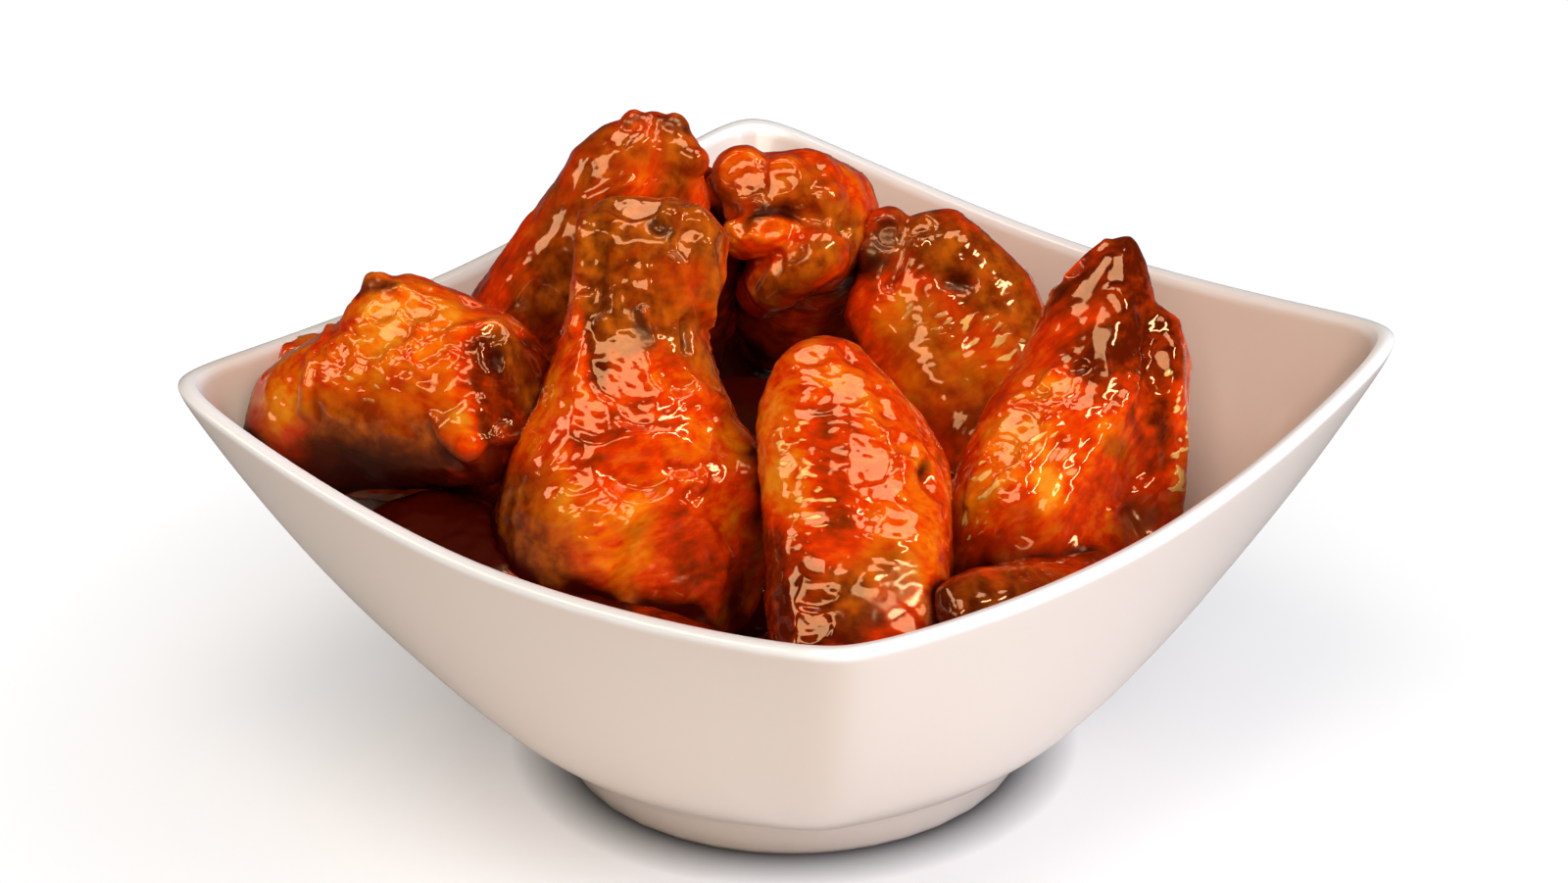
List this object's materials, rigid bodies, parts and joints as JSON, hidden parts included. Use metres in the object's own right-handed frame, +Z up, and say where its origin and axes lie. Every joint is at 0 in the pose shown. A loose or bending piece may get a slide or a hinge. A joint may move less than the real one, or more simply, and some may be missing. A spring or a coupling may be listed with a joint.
{
  "type": "chicken wings serving",
  "caption": "A heap of sauced chicken wings, drumettes and flats, served in a deep square porcelain bowl with raised corners and a round foot.",
  "frame": {"origin": "on the table under the middle of the bowl", "axes": "+Z up; the bowl's sides run along X and Y, and the corner towards +X and -Y faces the diner"},
  "size_m": [0.17, 0.17, 0.1124],
  "materials": {
    "porcelain": "white porcelain under a clear gloss glaze",
    "sauced_skin": "browned chicken skin under a sticky orange-red glaze"
  },
  "bodies": {
    "root": {"bowl": "porcelain", "wing_front_drumette": "sauced_skin", "wing_front_flat": "sauced_skin", "wing_pointed": "sauced_skin", "wing_left_drumette": "sauced_skin", "wing_brown_flat": "sauced_skin", "wing_back_drumette": "sauced_skin", "wing_tall_flat": "sauced_skin", "wing_low_front_left": "sauced_skin", "wing_low_front_right": "sauced_skin", "wing_low_left": "sauced_skin", "wing_low_back": "sauced_skin", "wing_low_middle": "sauced_skin", "wing_under_front": "sauced_skin", "wing_under_middle": "sauced_skin", "wing_under_back": "sauced_skin", "wing_under_left": "sauced_skin"}
  },
  "joints": []
}
